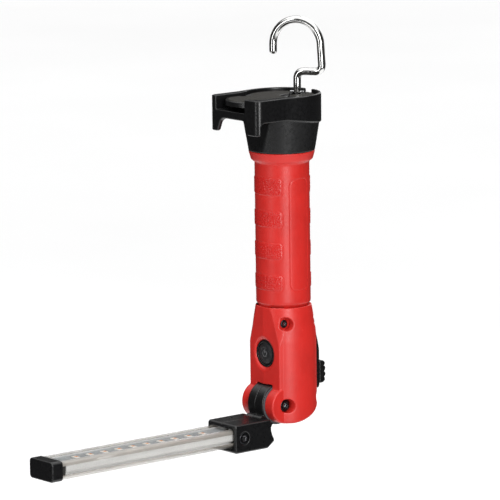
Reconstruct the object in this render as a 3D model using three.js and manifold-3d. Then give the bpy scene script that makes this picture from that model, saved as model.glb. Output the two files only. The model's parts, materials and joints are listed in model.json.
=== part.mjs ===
// Folding work light: red hand grip, head bracket with a fold-down swivel hook, hinge housing with a
// push button, and a light bar that folds out from between the fork of the head.
// Millimetres, +Z up along the handle. -Y is the side the light bar opens to, +X the right-hand side.
// The model is laid out with Z = 0 at the foot of the housing and X = Y = 0 on the handle's axis, then
// moved so that the origin is where a rod touches the inside top of the hook.

import * as THREE from 'three';
import { mergeVertices } from 'three/addons/utils/BufferGeometryUtils.js';
import Module from 'manifold-3d';

const wasm = await Module();
wasm.setup();

// ---------------------------------------------------------------- driving dimensions

const FIT = 0.2;              // gap left between pieces that are fixed to each other
const ROUND = 36;             // facets round the handle
const SMALL = 16;             // facets round a screw or a pin

const HINGE = {
  y: -11.2, z: 11.2, ear: 11.2, earIn: 7.6, earOut: 15.2, knuckle: 12.9, halfWidth: 7.1, bore: 2.58,
};
const BODY = { radius: 20.2, top: 72.25, front: 16.9, edgeX: 12.5, edgeY: 15.7, split: 12.1 };
const CAVITY = { radius: 14.5, low: 27, spigot: 15.1, spigotLow: 57 };
const UNDERSIDE = { start: -7, slope: 0.36 };
const TUBE = { radius: 17, bore: 13.4, low: 57, end: 74.6, spigot: 14.8, collarLow: 162, top: 169 };
const CUP = { low: 169.25, foot: 20.55, shoulder: 24, rim: 24.7, wrapLow: 190.6, top: 204.7 };
const FORK = { outer: 23.4, inner: 12.1, front: 38, corner: 4, legLow: 183, legDepth: 3.7, legIn: 13.6 };
const DECK = { low: 199.5, top: 203, wall: 2.1, noseRadius: 19.5, noseCentre: -19.5 };
const PIVOT = { y: 13, z: 203.9 };                      // where the hook folds and swivels
const HOOK = { wire: 2.35, turn: 30, jog: 12.9, reach: 16.6, loop: 15.6, loopZ: 29.3, tip: 24 };
const DRUM = { radius: 5, low: 194.5, cheek: 4.6, slot: 2.65, pin: 0.75 };
const BUTTON = { z: 42.7, ring: 8.4, ringFace: 15.4, ringBack: 13.5, cap: 6.7, face: 16.1, scoop: 11.6 };
const TRACK = { halfWidth: 6.5, low: 16.6, high: 52, face: 23.5 };
const SLIDE = {
  halfWidth: 6, low: 19.2, high: 33.7, face: 29, travel: 6, neck: 3, neckLow: 22, neckHigh: 30,
};
const SPRING = { y: 15.2, radius: 2, wire: 0.35, low: 31.2, high: 49.4, turns: 5 };
const LOCK = { z: 16, radius: 2.2, tip: 1.8 };
const BLOCK = { halfWidth: 13.7, front: -49, top: 3.9, low: -14 };
const BAR = { halfWidth: 11.3, top: 1.1, low: -10.6, wall: 1.2, corner: 3, near: -46.6, far: -182.4 };
const SPINE = { halfWidth: 9.8, top: -0.4, low: -6.8, footHalf: 5.5, footLow: -9.1, near: -38.6, far: -178 };
const LED = { count: 10, first: -66.3, pitch: -10.81, width: 4.6, length: 3.2 };
const CAP = { halfWidth: 11.6, top: 1.5, low: -11, near: -182.6, far: -189.7 };
const SIDE_SCREW = { y: -10.8, z: 62.6 };
const REAR_SEAT = 12.95;                                // the face that the rear screws' heads rest on
const REAR_SCREWS = [
  ['rear_screw_upper_left', -11.9, 61.5], ['rear_screw_upper_right', 11.9, 61.5],
  ['rear_screw_lower_left', -12.5, 13.2], ['rear_screw_lower_right', 12.5, 13.2],
];
const CELL = { radius: 9.25, low: 85, high: 154 };

// ---------------------------------------------------------------- materials

const paint = (color, roughness, metalness = 0) =>
  new THREE.MeshStandardMaterial({ color, roughness, metalness });
const RED = paint(0xc8282a, 0.5);
const BLACK = paint(0x26272a, 0.55);
const RUBBER = paint(0x17181a, 0.8);
const STEEL = paint(0xc9cbce, 0.2, 1);
const DARK_STEEL = paint(0x303236, 0.35, 1);
const ALUMINIUM = paint(0xc2c6c8, 0.4, 1);
const BRASS = paint(0xc9a35a, 0.35, 1);
const CLEAR = paint(0xa9a49c, 0.1);
Object.assign(CLEAR, { transparent: true, opacity: 0.5 });
const BOARD = paint(0xe8e6df, 0.5);
const GREEN = paint(0x2c6a44, 0.5);
const PHOSPHOR = paint(0xe9a866, 0.5);
const CELL_WRAP = paint(0x3f6fa8, 0.5);
const WASHER = paint(0xd5d6d2, 0.5);

// ---------------------------------------------------------------- solids

function toSolid(geometry) {
  const bare = geometry.clone();
  bare.deleteAttribute('normal');
  bare.deleteAttribute('uv');
  const merged = mergeVertices(bare, 1e-4);
  const position = merged.attributes.position.array;
  const corners = [];
  for (let i = 0; i < merged.index.count; i += 3) {
    const [a, b, c] = [0, 1, 2].map((k) => merged.index.array[i + k]);
    if (a !== b && b !== c && c !== a) corners.push(a, b, c);
  }
  if (signedVolume(position, corners) < 0) corners.reverse();
  return new wasm.Manifold(new wasm.Mesh({
    numProp: 3,
    vertProperties: Float32Array.from(position),
    triVerts: Uint32Array.from(corners),
  }));
}

function signedVolume(position, corners) {
  const [a, b, c] = [new THREE.Vector3(), new THREE.Vector3(), new THREE.Vector3()];
  let volume = 0;
  for (let i = 0; i < corners.length; i += 3) {
    a.fromArray(position, 3 * corners[i]);
    b.fromArray(position, 3 * corners[i + 1]);
    c.fromArray(position, 3 * corners[i + 2]);
    volume += a.dot(b.cross(c));
  }
  return volume;
}

function toGeometry(solid) {
  const mesh = solid.getMesh();
  const geometry = new THREE.BufferGeometry();
  geometry.setAttribute('position', new THREE.BufferAttribute(Float32Array.from(mesh.vertProperties), 3));
  geometry.setIndex(new THREE.BufferAttribute(Uint32Array.from(mesh.triVerts), 1));
  geometry.computeVertexNormals();
  return geometry;
}

const join = (first, ...rest) => rest.reduce((sum, piece) => sum.add(piece), first);
const cut = (first, ...rest) => rest.reduce((left, piece) => left.subtract(piece), first);

// A box from its two opposite corners.
function box(x0, x1, y0, y1, z0, z1) {
  const geometry = new THREE.BoxGeometry(x1 - x0, y1 - y0, z1 - z0);
  return toSolid(geometry.translate((x0 + x1) / 2, (y0 + y1) / 2, (z0 + z1) / 2));
}

// A box with its four edges along Z cut back.
function chamferedBox(x, y0, y1, z0, z1, chamfer) {
  return prismZ([
    [-x + chamfer, y0], [x - chamfer, y0], [x, y0 + chamfer], [x, y1 - chamfer],
    [x - chamfer, y1], [-x + chamfer, y1], [-x, y1 - chamfer], [-x, y0 + chamfer],
  ], z0, z1);
}

// A closed [radius, height] profile turned about a vertical line.
function turned(profile, segments = ROUND, x = 0, y = 0) {
  const points = [...profile, profile[0]].map(([r, z]) => new THREE.Vector2(r, z));
  return toSolid(new THREE.LatheGeometry(points, segments).rotateX(Math.PI / 2).translate(x, y, 0));
}

// A round bar between two stations of one axis, through centre = the other two coordinates.
function bar(axis, radius, from, to, centre, segments = SMALL) {
  const geometry = new THREE.CylinderGeometry(radius, radius, to - from, segments);
  const middle = (from + to) / 2;
  if (axis === 'x') geometry.rotateZ(Math.PI / 2).translate(middle, centre[0], centre[1]);
  if (axis === 'y') geometry.translate(centre[0], middle, centre[1]);
  if (axis === 'z') geometry.rotateX(Math.PI / 2).translate(centre[0], centre[1], middle);
  return toSolid(geometry);
}

function extruded(shape, depth, segments = 6) {
  return new THREE.ExtrudeGeometry(shape, { depth, bevelEnabled: false, curveSegments: segments });
}

// An outline in X and Y, raised from z0 to z1.
function prismZ(points, z0, z1) {
  const shape = new THREE.Shape(points.map(([x, y]) => new THREE.Vector2(x, y)));
  return toSolid(extruded(shape, z1 - z0).translate(0, 0, z0));
}

// An outline in Y and Z, drawn out from x0 to x1.
function prismX(points, x0, x1) {
  const shape = new THREE.Shape(points.map(([y, z]) => new THREE.Vector2(y, z)));
  const geometry = extruded(shape, x1 - x0).rotateY(Math.PI / 2).rotateX(Math.PI / 2);
  return toSolid(geometry.translate(x0, 0, 0));
}

// A rounded rectangle in X and Z, drawn out from y0 to y1.
function roundedBar(halfWidth, z0, z1, corner, y0, y1) {
  const shape = new THREE.Shape();
  const [w, h] = [halfWidth, z1 - z0];
  shape.moveTo(-w + corner, 0).lineTo(w - corner, 0).absarc(w - corner, corner, corner, -Math.PI / 2, 0);
  shape.lineTo(w, h - corner).absarc(w - corner, h - corner, corner, 0, Math.PI / 2);
  shape.lineTo(-w + corner, h).absarc(-w + corner, h - corner, corner, Math.PI / 2, Math.PI);
  shape.lineTo(-w, corner).absarc(-w + corner, corner, corner, Math.PI, Math.PI * 1.5);
  const geometry = extruded(shape, y1 - y0, 4).rotateX(Math.PI / 2).translate(0, y1, z0);
  return toSolid(geometry);
}

function circleShape(radius, sides) {
  const points = [];
  for (let i = 0; i < sides; i += 1) {
    const angle = (2 * Math.PI * i) / sides;
    points.push(new THREE.Vector2(radius * Math.cos(angle), radius * Math.sin(angle)));
  }
  return new THREE.Shape(points);
}

// A wire of round section along a path.
function wire(path, radius, steps, sides = 8) {
  return toSolid(new THREE.ExtrudeGeometry(circleShape(radius, sides), { extrudePath: path, steps }));
}

class Helix extends THREE.Curve {
  constructor(radius, low, high, turns, y = 0) {
    super();
    Object.assign(this, { radius, low, high, turns, y });
  }

  getPoint(t, target = new THREE.Vector3()) {
    const angle = 2 * Math.PI * this.turns * t;
    const height = this.low + (this.high - this.low) * t;
    return target.set(this.radius * Math.cos(angle), this.y + this.radius * Math.sin(angle), height);
  }
}

// A socket-head cap screw on the X or Y axis: head from `seat` outwards, shank inwards.
function capScrew(axis, centre, seat, side, sizes) {
  const { head, headLength, shank, shankLength, socket } = sizes;
  const span = (a, b) => [seat + side * a, seat + side * b].sort((p, q) => p - q);
  const headSolid = bar(axis, head, ...span(0, headLength), centre);
  const shankSolid = bar(axis, shank, ...span(-shankLength, 0.01), centre, 12);
  const socketSolid = bar(axis, socket, ...span(headLength * 0.4, headLength + 1), centre, 6);
  return cut(join(headSolid, shankSolid), socketSolid);
}

// ---------------------------------------------------------------- outlines used by several pieces

// Side outline of the housing, between its underside and its top.
function housingSide() {
  const points = [];
  for (let i = 0; i <= 8; i += 1) {
    const angle = Math.PI + (Math.PI / 2) * (i / 8);
    points.push([HINGE.y + HINGE.ear * Math.cos(angle), HINGE.z + HINGE.ear * Math.sin(angle)]);
  }
  const rear = 30;
  points.push([UNDERSIDE.start, 0], [rear, UNDERSIDE.slope * (rear - UNDERSIDE.start)]);
  points.push([rear, 80], [HINGE.y - HINGE.ear, 80]);
  return points;
}

function housingBlank() {
  const body = turned([
    [0, 0], [BODY.radius, 0], [BODY.radius, 55], [19.2, 62], [18.3, 68.4], [17.5, BODY.top], [0, BODY.top],
  ]);
  const front = prismZ([
    [-BODY.edgeX, -BODY.edgeY], [0, -BODY.front], [BODY.edgeX, -BODY.edgeY],
    [BODY.radius + 2, -12.9], [BODY.radius + 2, 24], [-BODY.radius - 2, 24], [-BODY.radius - 2, -12.9],
  ], -1, 80);
  const ears = bar('x', HINGE.ear, -HINGE.earOut, HINGE.earOut, [HINGE.y, HINGE.z], 40);
  const shaped = body.intersect(front).intersect(prismX(housingSide(), -24, 24));
  return join(shaped, ears);
}

// The slot that the knuckle turns in, with the room its neck sweeps at full opening.
function knuckleSlot() {
  const w = HINGE.earIn;
  const round = bar('x', HINGE.knuckle + 0.6, -w, w, [HINGE.y, HINGE.z], 40);
  const swept = [[0.3, 7.6], [2, 7.6], [7.5, 5.9], [9.4, 5], [9.4, -3], [-11, -3], [-11, 7.6]];
  const sweep = prismX(swept, -w, w);
  const mouth = box(-w, w, -30, HINGE.y, -3, HINGE.z);
  return join(round, sweep, mouth);
}

function cavity() {
  const bore = bar('z', CAVITY.radius, CAVITY.low, BODY.top + 1, [0, 0], ROUND);
  const seat = bar('z', CAVITY.spigot, CAVITY.spigotLow - FIT, BODY.top + 1, [0, 0], ROUND);
  return join(bore, seat);
}

// Outline of the head seen from above: the cup with the fork in front of it.
function headOutline(inset) {
  const rim = CUP.rim - inset;
  const side = FORK.outer - inset;
  const front = -FORK.front + inset;
  const corner = FORK.corner;
  const points = [];
  for (let i = 0; i <= 24; i += 1) {
    const angle = -0.15 + (Math.PI + 0.3) * (i / 24);
    points.push([rim * Math.cos(angle), rim * Math.sin(angle)]);
  }
  for (let i = 0; i <= 4; i += 1) {
    const angle = Math.PI + (Math.PI / 2) * (i / 4);
    points.push([-side + corner + corner * Math.cos(angle), front + corner + corner * Math.sin(angle)]);
  }
  for (let i = 0; i <= 4; i += 1) {
    const angle = Math.PI * 1.5 + (Math.PI / 2) * (i / 4);
    points.push([side - corner + corner * Math.cos(angle), front + corner + corner * Math.sin(angle)]);
  }
  return points;
}

// Outline of the deck: inside the head's wall, with a bowed nose between the fork's tips.
function deckOutline(gap) {
  const rim = CUP.rim - DECK.wall - gap;
  const side = 17.3 - gap;
  const nose = DECK.noseRadius - gap;
  const points = [];
  for (let i = 0; i <= 24; i += 1) {
    const angle = -0.55 + (Math.PI + 1.1) * (i / 24);
    points.push([rim * Math.cos(angle), rim * Math.sin(angle)]);
  }
  const spread = Math.asin(side / nose);
  for (let i = 0; i <= 12; i += 1) {
    const angle = -Math.PI / 2 - spread + 2 * spread * (i / 12);
    points.push([nose * Math.cos(angle), DECK.noseCentre + nose * Math.sin(angle)]);
  }
  return points;
}

// The hook's centre line. along and across are the directions of its height and of its width.
function hookPath(origin, along, across) {
  const at = (w, h) => origin.clone().addScaledVector(across, w).addScaledVector(along, h);
  const bend = (a, b, c) => new THREE.QuadraticBezierCurve3(at(...a), at(...b), at(...c));
  const line = (a, b) => new THREE.LineCurve3(at(...a), at(...b));
  const { jog, reach, loop, loopZ, tip } = HOOK;
  const kappa = 0.5523 * loop;
  const path = new THREE.CurvePath();
  path.add(line([0, 0], [0, jog - 5]));
  path.add(bend([0, jog - 5], [0, jog], [5, jog]));
  path.add(line([5, jog], [reach - 5, jog]));
  path.add(bend([reach - 5, jog], [reach, jog], [reach - 0.3, jog + 5]));
  path.add(line([reach - 0.3, jog + 5], [loop, loopZ]));
  path.add(new THREE.CubicBezierCurve3(
    at(loop, loopZ), at(loop, loopZ + kappa), at(kappa, loopZ + loop), at(0, loopZ + loop)));
  path.add(new THREE.CubicBezierCurve3(
    at(0, loopZ + loop), at(-kappa, loopZ + loop), at(-loop, loopZ + kappa), at(-loop, loopZ)));
  path.add(line([-loop, loopZ], [-loop, tip]));
  return path;
}

// ---------------------------------------------------------------- assembly

const pivotPoint = new THREE.Vector3(0, PIVOT.y, PIVOT.z);
const hookTop = PIVOT.z + HOOK.loopZ + HOOK.loop - HOOK.wire;
const light = new THREE.Group();
light.position.set(0, -PIVOT.y, -hookTop);

function place(name, solid, material) {
  const mesh = new THREE.Mesh(toGeometry(solid), material);
  mesh.name = name;
  light.add(mesh);
}

function addGrip() {
  const seat = TUBE.top - 4.5;
  let tube = turned([
    [TUBE.bore, TUBE.low], [TUBE.spigot, TUBE.low], [TUBE.spigot, BODY.top + FIT], [16.1, BODY.top + FIT],
    [16.1, TUBE.end], [TUBE.radius, TUBE.end], [TUBE.radius, TUBE.collarLow], [19.2, TUBE.collarLow + 2],
    [20.6, TUBE.top], [17.9, TUBE.top], [17.9, seat], [TUBE.bore, seat],
  ]);
  tube = cut(tube, bar('x', 1.6, -20, 20, [SIDE_SCREW.y, SIDE_SCREW.z], 12));
  tube = cut(tube, turned([[15.4, 65], [13.9, 66], [13.9, 68], [15.4, 69]]));
  place('grip_tube', tube, RED);
  place('housing_seal', turned([[14.1, 66.4], [14.95, 66.4], [14.95, 67.6], [14.1, 67.6]], 24), RUBBER);
}

// The slot in the rear shell and in its track that the slide's neck runs in.
function slideWindow() {
  const w = SLIDE.neck + 0.4;
  return box(-w, w, 15, 26, SLIDE.neckLow - 0.4, SLIDE.neckHigh + SLIDE.travel + 0.4);
}

function addHousing() {
  const blank = cut(housingBlank(), knuckleSlot(), cavity());
  const slab = (y0, y1) => box(-30, 30, y0, y1, -5, 90);
  const hinge = [HINGE.y, HINGE.z];
  const sideSeat = [SIDE_SCREW.y, SIDE_SCREW.z];
  const scoop = new THREE.CylinderGeometry(BUTTON.ring + FIT, BUTTON.scoop, 2.2, 32);
  scoop.translate(0, -BUTTON.ringFace - 1.1, BUTTON.z);
  let front = blank.intersect(slab(-40, BODY.split - FIT / 2));
  let rear = blank.intersect(slab(BODY.split + FIT / 2, 40));
  front = cut(front,
    bar('x', 2.6, -16, 16, hinge), bar('x', 4.35, 11.2, 24, hinge), bar('x', 4.35, -24, -11.2, hinge),
    bar('x', 1.6, -20, 20, sideSeat, 12),
    bar('x', 4.1, 12.6, 24, sideSeat),
    bar('x', 4.1, -24, -12.6, sideSeat),
    bar('y', BUTTON.ring + FIT, -24, -10, [0, BUTTON.z], 32), toSolid(scoop),
    bar('y', LOCK.radius + 0.06, -5, 20, [0, LOCK.z]));
  for (const [, x, z] of REAR_SCREWS) {
    front = cut(front, bar('y', 1.5, 7, 14, [x, z], 12));
    rear = cut(rear, bar('y', 1.5, 10, 15, [x, z], 12), bar('y', 3.3, REAR_SEAT - 0.1, 26, [x, z]));
  }
  const well = box(-6.3, 6.3, 10, 18, 12.5, SPRING.high + 0.4);
  place('housing_front', front, RED);
  place('housing_rear', cut(rear, well, slideWindow()), RED);

  const screw = { head: 2.9, headLength: 1.5, shank: 1.35, shankLength: 2.35, socket: 1.4 };
  for (const [name, x, z] of REAR_SCREWS) place(name, capScrew('y', [x, z], REAR_SEAT, 1, screw), DARK_STEEL);
  const sideScrew = { head: 3.2, headLength: 2.2, shank: 1.4, shankLength: 4, socket: 1.6 };
  for (const [side, sign] of [['left', -1], ['right', 1]]) {
    place(`side_screw_${side}`, capScrew('x', sideSeat, sign * 12.7, sign, sideScrew), DARK_STEEL);
  }
}

function addHinge() {
  const centre = [HINGE.y, HINGE.z];
  const bores = [bar('x', 1.7, 4, 12, centre, 12), bar('x', 1.7, -12, -4, centre, 12)];
  place('hinge_pin', cut(bar('x', 2.5, -11, 11, centre), ...bores), STEEL);
  const screw = { head: 3.7, headLength: 2.8, shank: 1.6, shankLength: 6, socket: 1.7 };
  for (const [side, sign] of [['left', -1], ['right', 1]]) {
    place(`hinge_screw_${side}`, capScrew('x', centre, sign * 11.3, sign, screw), DARK_STEEL);
    const [a, b] = [sign * 7.18, sign * 7.52].sort((p, q) => p - q);
    const washer = cut(bar('x', 12.2, a, b, centre, 32), bar('x', 2.6, -9, 9, centre));
    place(`hinge_washer_${side}`, washer, WASHER);
  }
}

function addInside() {
  const cradle = turned([[9.7, 80], [9.7, 160], [12.9, 160], [12.9, 77.5], [6, 77.5], [6, 80]], 32);
  place('battery_cradle', cut(cradle, box(-2, 2, -14, -8, 76, 162)), BLACK);
  const cell = turned([
    [0, CELL.low], [CELL.radius, CELL.low], [CELL.radius, CELL.high], [3, CELL.high],
    [3, CELL.high + 1.2], [0, CELL.high + 1.2],
  ], 28);
  place('battery_cell', cell, CELL_WRAP);
  place('battery_contact', bar('z', 8.6, 80.1, 80.7, [0, 0], 24), BRASS);
  place('battery_spring', wire(new Helix(5.5, 81.3, 84.4, 2.5), 0.4, 26, 6), STEEL);
  const disc = cut(bar('z', 9.2, 155.5, 156.1, [0, 0], 24), bar('z', 1.5, 155, 157, [5, 0], 8));
  place('positive_contact', disc, BRASS);
  place('driver_board', box(-10.8, 10.8, -9.4, -7.9, 29, 56), GREEN);
  const nub = bar('y', 1.7, -12.5, -11, [0, BUTTON.z], 12);
  place('tactile_switch', join(box(-3, 3, -11.9, -9.6, BUTTON.z - 3, BUTTON.z + 3), nub), BLACK);
  const lead = new THREE.CatmullRomCurve3([
    new THREE.Vector3(0, -11.2, 158), new THREE.Vector3(0, -11.2, 120), new THREE.Vector3(0, -11.2, 79),
    new THREE.Vector3(0, -10.4, 66), new THREE.Vector3(0, -8.7, 56.6),
  ]);
  place('power_lead', wire(lead, 0.8, 14, 6), RED);
}

function addButton() {
  const centre = [0, BUTTON.z];
  const ring = cut(bar('y', BUTTON.ring, -BUTTON.ringFace, -BUTTON.ringBack, centre, 32),
    bar('y', BUTTON.cap + 0.3, -18, -13, centre, 32));
  place('button_bezel', ring, BLACK);
  const plunger = bar('y', 2.4, -14.5, -13.6, centre, 12);
  const cap = join(bar('y', BUTTON.cap, -BUTTON.face, -14.4, centre, 32), plunger);
  place('button_cap', cap, RUBBER);
}

function addSlide() {
  const { halfWidth, low, high, face } = TRACK;
  const side = [
    [16, low + 0.8], [face - 1, low], [face, low + 1.5], [face, 41], [22.4, 47], [20.9, high], [16, high],
  ];
  const track = cut(prismX(side, -halfWidth, halfWidth), bar('z', BODY.radius + FIT, 0, 56, [0, 0], ROUND));
  place('slide_bezel', cut(track, slideWindow()), BLACK);

  const pitch = (SLIDE.high - SLIDE.low) / 4;
  const profile = [[face + 0.3, SLIDE.low], [SLIDE.face - 1.6, SLIDE.low]];
  for (let i = 0; i < 4; i += 1) {
    const base = SLIDE.low + pitch * i;
    profile.push([SLIDE.face - 0.3, base + pitch * 0.25], [SLIDE.face, base + pitch * 0.5]);
    profile.push([SLIDE.face - 0.3, base + pitch * 0.75], [SLIDE.face - 1.2, base + pitch]);
  }
  profile.push([face + 0.3, SLIDE.high]);
  const pad = prismX(profile, -SLIDE.halfWidth, SLIDE.halfWidth);
  const neck = box(-SLIDE.neck, SLIDE.neck, 15.4, face + 1, SLIDE.neckLow, SLIDE.neckHigh);
  const plate = box(-5.6, 5.6, 15.4, 17.4, 18.4, SPRING.low - FIT);
  place('lock_slide', join(pad, neck, plate), BLACK);
  const { y, radius, wire: thickness, low: from, high: to, turns } = SPRING;
  const coil = new Helix(radius, from + thickness, to - thickness, turns, y);
  place('slide_spring', wire(coil, thickness, 34, 5), STEEL);
  const pin = join(bar('y', LOCK.radius, LOCK.tip, 13.2, [0, LOCK.z]), bar('y', 3.4, 12.6, 15, [0, LOCK.z]));
  place('lock_pin', pin, STEEL);
}

function addHead() {
  const shelf = DECK.low - FIT;
  const inner = 21.2;
  const cup = turned([
    [15, 164.8], [17.6, 164.8], [17.6, CUP.low], [CUP.foot, CUP.low], [CUP.shoulder, CUP.wrapLow],
    [CUP.shoulder, CUP.top - 1], [inner, CUP.top - 1], [inner, 192], [16.5, CUP.low + 2],
  ]);
  const fork = prismZ(headOutline(0), CUP.wrapLow, CUP.top);
  const legs = prismZ(headOutline(0), FORK.legLow, CUP.wrapLow + 0.1)
    .intersect(box(-30, 30, -FORK.front - 1, -FORK.front + FORK.legDepth, 180, 192));
  let head = join(cup, fork, legs);
  head = cut(head,
    box(-FORK.inner, FORK.inner, -FORK.front - 1, -20.4, 180, 191.6),
    box(-FORK.legIn, FORK.legIn, -FORK.front - 1, -FORK.front + FORK.legDepth + 0.1, 180, CUP.wrapLow - 1),
    prismZ(deckOutline(0), shelf, CUP.top + 1),
    bar('z', inner, 192, CUP.top + 1, [0, 0], ROUND),
    box(-17.3, FORK.inner - 1.6, -FORK.front - 1, -26, 198.2, CUP.top + 1));
  const facet = prismX([[-18.8, 168], [-20.4, 191.6], [-30, 191.6], [-30, 168]], -30, 30);
  head = cut(head, facet.intersect(box(-FORK.inner, FORK.inner, -30, 0, 169.3, 191.6)));
  head = cut(head, turned([[16.2, 166], [18, 165.8], [18, 168.2], [16.2, 168]]));
  place('head_bracket', head, BLACK);
  place('head_seal', turned([[16.5, 166.4], [17.65, 166.4], [17.65, 167.6], [16.5, 167.6]], 24), RUBBER);

  const forward = new THREE.Vector3(0, -1, 0);
  const sideways = new THREE.Vector3(1, 0, 0);
  const trough = wire(hookPath(pivotPoint, forward, sideways), HOOK.wire + 0.3, 26);
  const deck = cut(prismZ(deckOutline(FIT), DECK.low, DECK.top),
    bar('z', DRUM.radius + 0.08, 190, 210, [0, PIVOT.y], 28), trough);
  place('head_deck', deck, BLACK);
}

function addHook() {
  const turn = THREE.MathUtils.degToRad(HOOK.turn);
  const across = new THREE.Vector3(Math.cos(turn), Math.sin(turn), 0);
  const up = new THREE.Vector3(0, 0, 1);
  const inPlace = (geometry) => toSolid(geometry.rotateZ(turn).translate(0, PIVOT.y, 0));

  const ball = (point) => toSolid(new THREE.SphereGeometry(HOOK.wire, 10, 6).translate(...point.toArray()));
  const tip = pivotPoint.clone().addScaledVector(across, -HOOK.loop).addScaledVector(up, HOOK.tip);
  const pinGeometry = (radius, half) => new THREE.CylinderGeometry(radius, radius, 2 * half, 12)
    .rotateZ(Math.PI / 2).translate(0, 0, PIVOT.z);
  const wireSolid = wire(hookPath(pivotPoint, up, across), HOOK.wire, 38, 10);
  const pinHole = inPlace(pinGeometry(DRUM.pin + 0.08, 5));
  place('hook', cut(join(wireSolid, ball(pivotPoint), ball(tip)), pinHole), STEEL);
  place('hook_pin', inPlace(pinGeometry(DRUM.pin, DRUM.cheek - 0.05)), STEEL);

  const post = turned([
    [0, DRUM.low], [DRUM.radius, DRUM.low], [DRUM.radius, 197.6], [3.7, 197.6],
    [3.7, 199], [DRUM.radius, 199], [DRUM.radius, DECK.top], [0, DECK.top],
  ], 28, 0, PIVOT.y);
  const cheekTop = PIVOT.z + 1.4;
  const cheeks = inPlace(new THREE.BoxGeometry(2 * DRUM.cheek, 3.6, cheekTop - DECK.top + 1)
    .translate(0, 0, (cheekTop + DECK.top - 1) / 2));
  const slotLow = PIVOT.z - HOOK.wire - 0.35;
  const slot = inPlace(new THREE.BoxGeometry(2 * DRUM.slot, 14, 10).translate(0, 0, slotLow + 5));
  place('hook_drum', cut(join(post, cheeks), slot, inPlace(pinGeometry(DRUM.pin + 0.08, 6))), DARK_STEEL);

  const clip = cut(bar('z', 7, 197.8, 198.7, [0, PIVOT.y], 24), bar('z', 3.8, 197, 200, [0, PIVOT.y], 24),
    box(-2.2, 2.2, PIVOT.y - 9, PIVOT.y, 197, 200));
  place('hook_clip', clip, STEEL);
  const onPost = [0, PIVOT.y];
  const washer = cut(bar('z', 7.4, 198.95, 199.3, onPost, 24), bar('z', 5.15, 198, 200, onPost, 24));
  place('hook_washer', washer, WASHER);
}

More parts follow.
